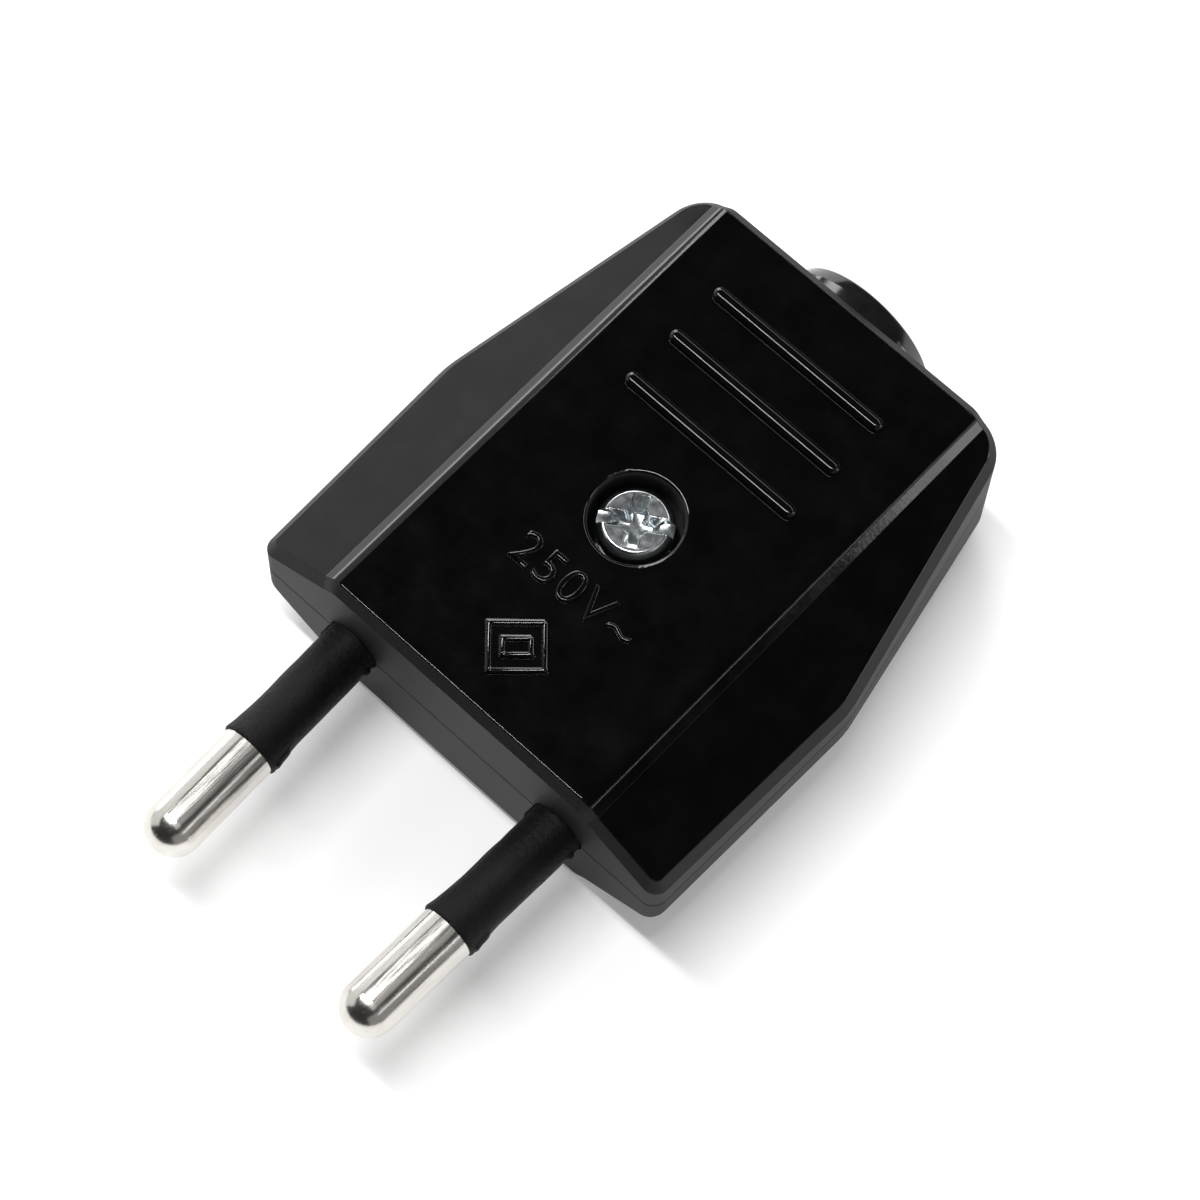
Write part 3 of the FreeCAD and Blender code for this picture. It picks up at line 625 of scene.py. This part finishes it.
pick(sleeve, "VERT", on_skin)
bpy.ops.object.vertex_group_assign_new()
sleeve.vertex_groups[-1].name = "skin"
bpy.ops.object.mode_set(mode="OBJECT")
clouds = bpy.data.textures.new("dents", "CLOUDS")
clouds.noise_scale = DENT_SIZE
clouds.noise_depth = 1
dents = sleeve.modifiers.new("dents", "DISPLACE")
dents.texture = clouds
dents.texture_coords = "LOCAL"
dents.vertex_group = "skin"
dents.mid_level = 0.5
dents.strength = DENT_DEPTH
bpy.ops.object.modifier_apply(modifier="dents")
print("dents pushed into the sleeve")

# %% [markdown]
# Where the two halves of the sleeve's mould met, a little plastic crept out: a nib on each side of the
# root, and a lump on each side of the end. Each is a few faces, extruded outwards and drawn together.

# %% Sleeve: nibs and lumps
LEFT = -1.0
RIGHT = 1.0
ROOT_NIB = {"low": -0.9, "high": -0.15, "half_width": 0.30, "rise": 0.20, "shrink": 0.5}
END_LUMP = {"low": -9.6, "high": -8.3, "half_width": 0.45, "rise": 0.12, "shrink": 0.7}
SMALL_LUMP = {"low": -9.9, "high": -9.1, "half_width": 0.3, "rise": 0.06, "shrink": 0.7}


def grow(side, low, high, half_width, rise, shrink):
    def test(middle, normal):
        outside = math.hypot(middle.x, middle.z) > SKIN_INSIDE and middle.x * side > 0.0
        return outside and low < middle.y / MM < high and abs(middle.z) < half_width * MM

    count = pick(sleeve, "FACE", test)
    extrude(side * rise * MM, 0.0, 0.0)
    bpy.ops.transform.resize(value=(1.0, shrink, shrink))
    bpy.ops.object.mode_set(mode="OBJECT")
    return count


grown = [grow(LEFT, **ROOT_NIB), grow(RIGHT, **ROOT_NIB), grow(RIGHT, **END_LUMP), grow(LEFT, **SMALL_LUMP)]
print("faces grown into nibs and lumps:", grown)

# %% [markdown]
# The second sleeve is a copy with a mesh of its own. Both are moved to the roots of the pins and turned by
# the small angle at which the pins lean together.

# %% Sleeves: copy and place
second = sleeve.copy()
second.data = sleeve.data.copy()
second.name = "sleeve_skin_right"
second.data.name = "sleeve_skin_right"
bpy.context.scene.collection.objects.link(second)
for piece, side, node in ((sleeve, LEFT, "sleeve_left"), (second, RIGHT, "sleeve_right")):
    piece.location = (side * PIN_ROOT, FRONT, PARTING)
    piece.rotation_euler = (0.0, 0.0, -side * PIN_LEAN)
    finish_piece(piece, sleeve_matte, smooth_angle=50.0)
    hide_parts(node)

# %% [markdown]
# Two marks stand up from the panel. The first is the sign for double insulation, one square inside
# another. Each square is a thin slab that reaches into the panel. Its top is inset, the middle is pushed
# down below the panel's surface until only a thin sheet is left, and the edges that stay above it are
# rounded.

# %% Marks: double square
MARK_RISE = 0.20 * MM
MARK_SINK = 0.15 * MM
MARK_SHEET = 0.10 * MM
MARK_ROUND = 0.17 * MM
STROKE = 0.44 * MM
OUTER_SQUARE = (4.05 * MM, 3.75 * MM)
INNER_SQUARE = (2.3 * MM, 1.6 * MM)
SIGN_PLACE = (0.55 * MM, -5.35 * MM, PANEL)
SIGN_TURN = math.radians(43.0)


def raised_square(name, width, height):
    clear_selection()
    thick = MARK_RISE + MARK_SINK
    middle_place = (0.0, 0.0, MARK_RISE - thick / 2)
    bpy.ops.mesh.primitive_cube_add(size=1.0, location=middle_place, scale=(width, height, thick))
    square = start_piece(name)
    bpy.ops.object.transform_apply(location=True, rotation=True, scale=True)
    pick(square, "FACE", lambda middle, normal: normal.z > STRAIGHT)
    bpy.ops.mesh.inset(thickness=STROKE)
    extrude(0.0, 0.0, MARK_SHEET - thick)
    pick(square, "EDGE", lambda middle, run: middle.z > MARK_RISE - NEAR and abs(run.z) < NEAR)
    bpy.ops.mesh.bevel(offset=MARK_ROUND, segments=5, profile=0.5, affect="EDGES")
    bpy.ops.object.mode_set(mode="OBJECT")
    return square


outer = raised_square("double_square", *OUTER_SQUARE)
inner = raised_square("inner_square", *INNER_SQUARE)
choose(outer)
inner.select_set(True)
bpy.ops.object.join()
outer.rotation_euler = (0.0, 0.0, SIGN_TURN)
outer.location = SIGN_PLACE
finish_piece(outer, housing, smooth_angle=30.0)

# %% [markdown]
# The second mark is the voltage that every plug of this kind is made for. It is set as text with a little
# depth and a round edge, turned into a mesh, and laid on the panel beside the screw.

# %% Marks: voltage
TEXT_PLACE = (0.6 * MM, -0.05 * MM, PANEL)
TEXT_MERGE = 0.001 * MM
clear_selection()
bpy.ops.object.text_add(location=(0.0, 0.0, 0.0))
rating = bpy.context.object
rating.data.body = "250V~"
rating.data.align_x = "CENTER"
rating.data.align_y = "CENTER"
rating.data.size = 3.5 * MM
rating.data.space_character = 1.10
rating.data.offset = -0.10 * MM
rating.data.extrude = 0.06 * MM
rating.data.bevel_depth = 0.14 * MM
rating.data.bevel_resolution = 4
bpy.ops.object.convert(target="MESH")
rating = start_piece("voltage_mark")
bpy.ops.object.mode_set(mode="EDIT")
bpy.ops.mesh.select_all(action="SELECT")
bpy.ops.mesh.remove_doubles(threshold=TEXT_MERGE)
bpy.ops.mesh.normals_make_consistent(inside=False)
bpy.ops.object.mode_set(mode="OBJECT")
rating.location = TEXT_PLACE
finish_piece(rating, housing, smooth_angle=40.0)
print("voltage mark is", round(rating.dimensions.x / MM, 2), "mm wide")

# %% [markdown]
# The studio is a white table and soft light. The table is a large plane that fills the picture, and a
# little glow of its own helps it burn out to white, as in a catalogue.

# %% Table
TABLE_WIDTH = 6.0
TABLE_GLOW = 0.20
clear_selection()
bpy.ops.mesh.primitive_plane_add(size=TABLE_WIDTH, location=(0.0, 0.0, 0.0))
table = start_piece("table")
paper = new_finish("table_paper", {
    "Roughness": 0.85, "Specular IOR Level": 0.2,
    "Emission Color": (1.0, 1.0, 1.0, 1.0), "Emission Strength": TABLE_GLOW,
})
fibres = noise(paper, coordinates(paper), scale=900.0)
drive(paper, "Base Color", fibres, [(0.3, grey(0.89)), (0.7, grey(0.91))])
table.data.materials.append(paper)
print("table is", round(table.dimensions.x, 2), "m wide")


# %% [markdown]
# A glossy black thing shows its lights more than itself, so each light is a panel that is placed by the
# reflection it makes, and set by its glow, which is how bright the panel looks. A lamp's power is that
# glow times its area and pi. A direction says where the panel stands as seen from the plug.

# %% Helper: a panel of light
LIGHT_DISTANCE = 0.9


def soft_panel(name, direction, along, length, breadth, glow):
    data = bpy.data.lights.new(name, "AREA")
    data.shape = "RECTANGLE"
    data.size = length
    data.size_y = breadth
    data.energy = glow * math.pi * length * breadth
    panel = bpy.data.objects.new(name, data)
    bpy.context.scene.collection.objects.link(panel)
    away = Vector(direction).normalized()
    across = away.cross(Vector(along)).normalized()
    long_axis = across.cross(away)
    turn = Matrix((long_axis, across, away)).transposed().to_4x4()
    panel.matrix_world = Matrix.Translation(away * LIGHT_DISTANCE) @ turn


print("panels stand", LIGHT_DISTANCE, "m from the plug")

# %% [markdown]
# left_panel is wide and dim and greys the left wing, and low_left, just above the table, lights the crease
# beside it. key_above and key_behind are narrow and bright: they draw the fine lines on the ribs and
# marks, light the screw, and give the table its soft shadows. right_strip and right_panel are dim and
# shape the right sides of the pins and sleeves. right_line lights the crease on the right, and right_back
# and left_back stand low behind the plug and light the ends of the collar. The room is dark, so that the
# black panel stays black.

# %% Lights and room
ALONG_X = (1.0, 0.0, 0.0)
ALONG_Y = (0.0, 1.0, 0.0)
ALONG_Z = (0.0, 0.0, 1.0)
ROOM_GLOW = 0.03
soft_panel("left_panel", (-0.88, -0.18, 0.40), ALONG_Y, length=1.2, breadth=0.7, glow=0.80)
soft_panel("low_left", (-0.94, 0.32, 0.075), ALONG_Y, length=0.6, breadth=0.12, glow=5.0)
soft_panel("key_above", (-0.24, -0.02, 0.97), ALONG_X, length=0.6, breadth=0.07, glow=46.0)
soft_panel("key_behind", (-0.10, 0.71, 0.69), ALONG_X, length=1.2, breadth=0.08, glow=8.0)
soft_panel("right_strip", (0.36, -0.02, 0.93), ALONG_Y, length=0.34, breadth=0.34, glow=0.6)
soft_panel("right_panel", (0.87, -0.28, 0.40), ALONG_Y, length=0.96, breadth=0.6, glow=0.25)
soft_panel("right_line", (0.80, 0.28, 0.53), ALONG_Y, length=0.7, breadth=0.04, glow=2.5)
soft_panel("right_back", (0.84, 0.50, 0.27), ALONG_Y, length=0.26, breadth=0.30, glow=5.0)
soft_panel("left_back", (-0.735, 0.565, 0.375), ALONG_Z, length=0.55, breadth=0.36, glow=7.0)
world = bpy.data.worlds.new("room")
world.use_nodes = True
bpy.context.scene.world = world
room = world.node_tree.nodes["Background"]
room.inputs["Color"].default_value = (1.0, 1.0, 1.0, 1.0)
room.inputs["Strength"].default_value = ROOM_GLOW
bpy.context.scene.view_settings.view_transform = "Standard"
print("lights:", len(bpy.data.lights))
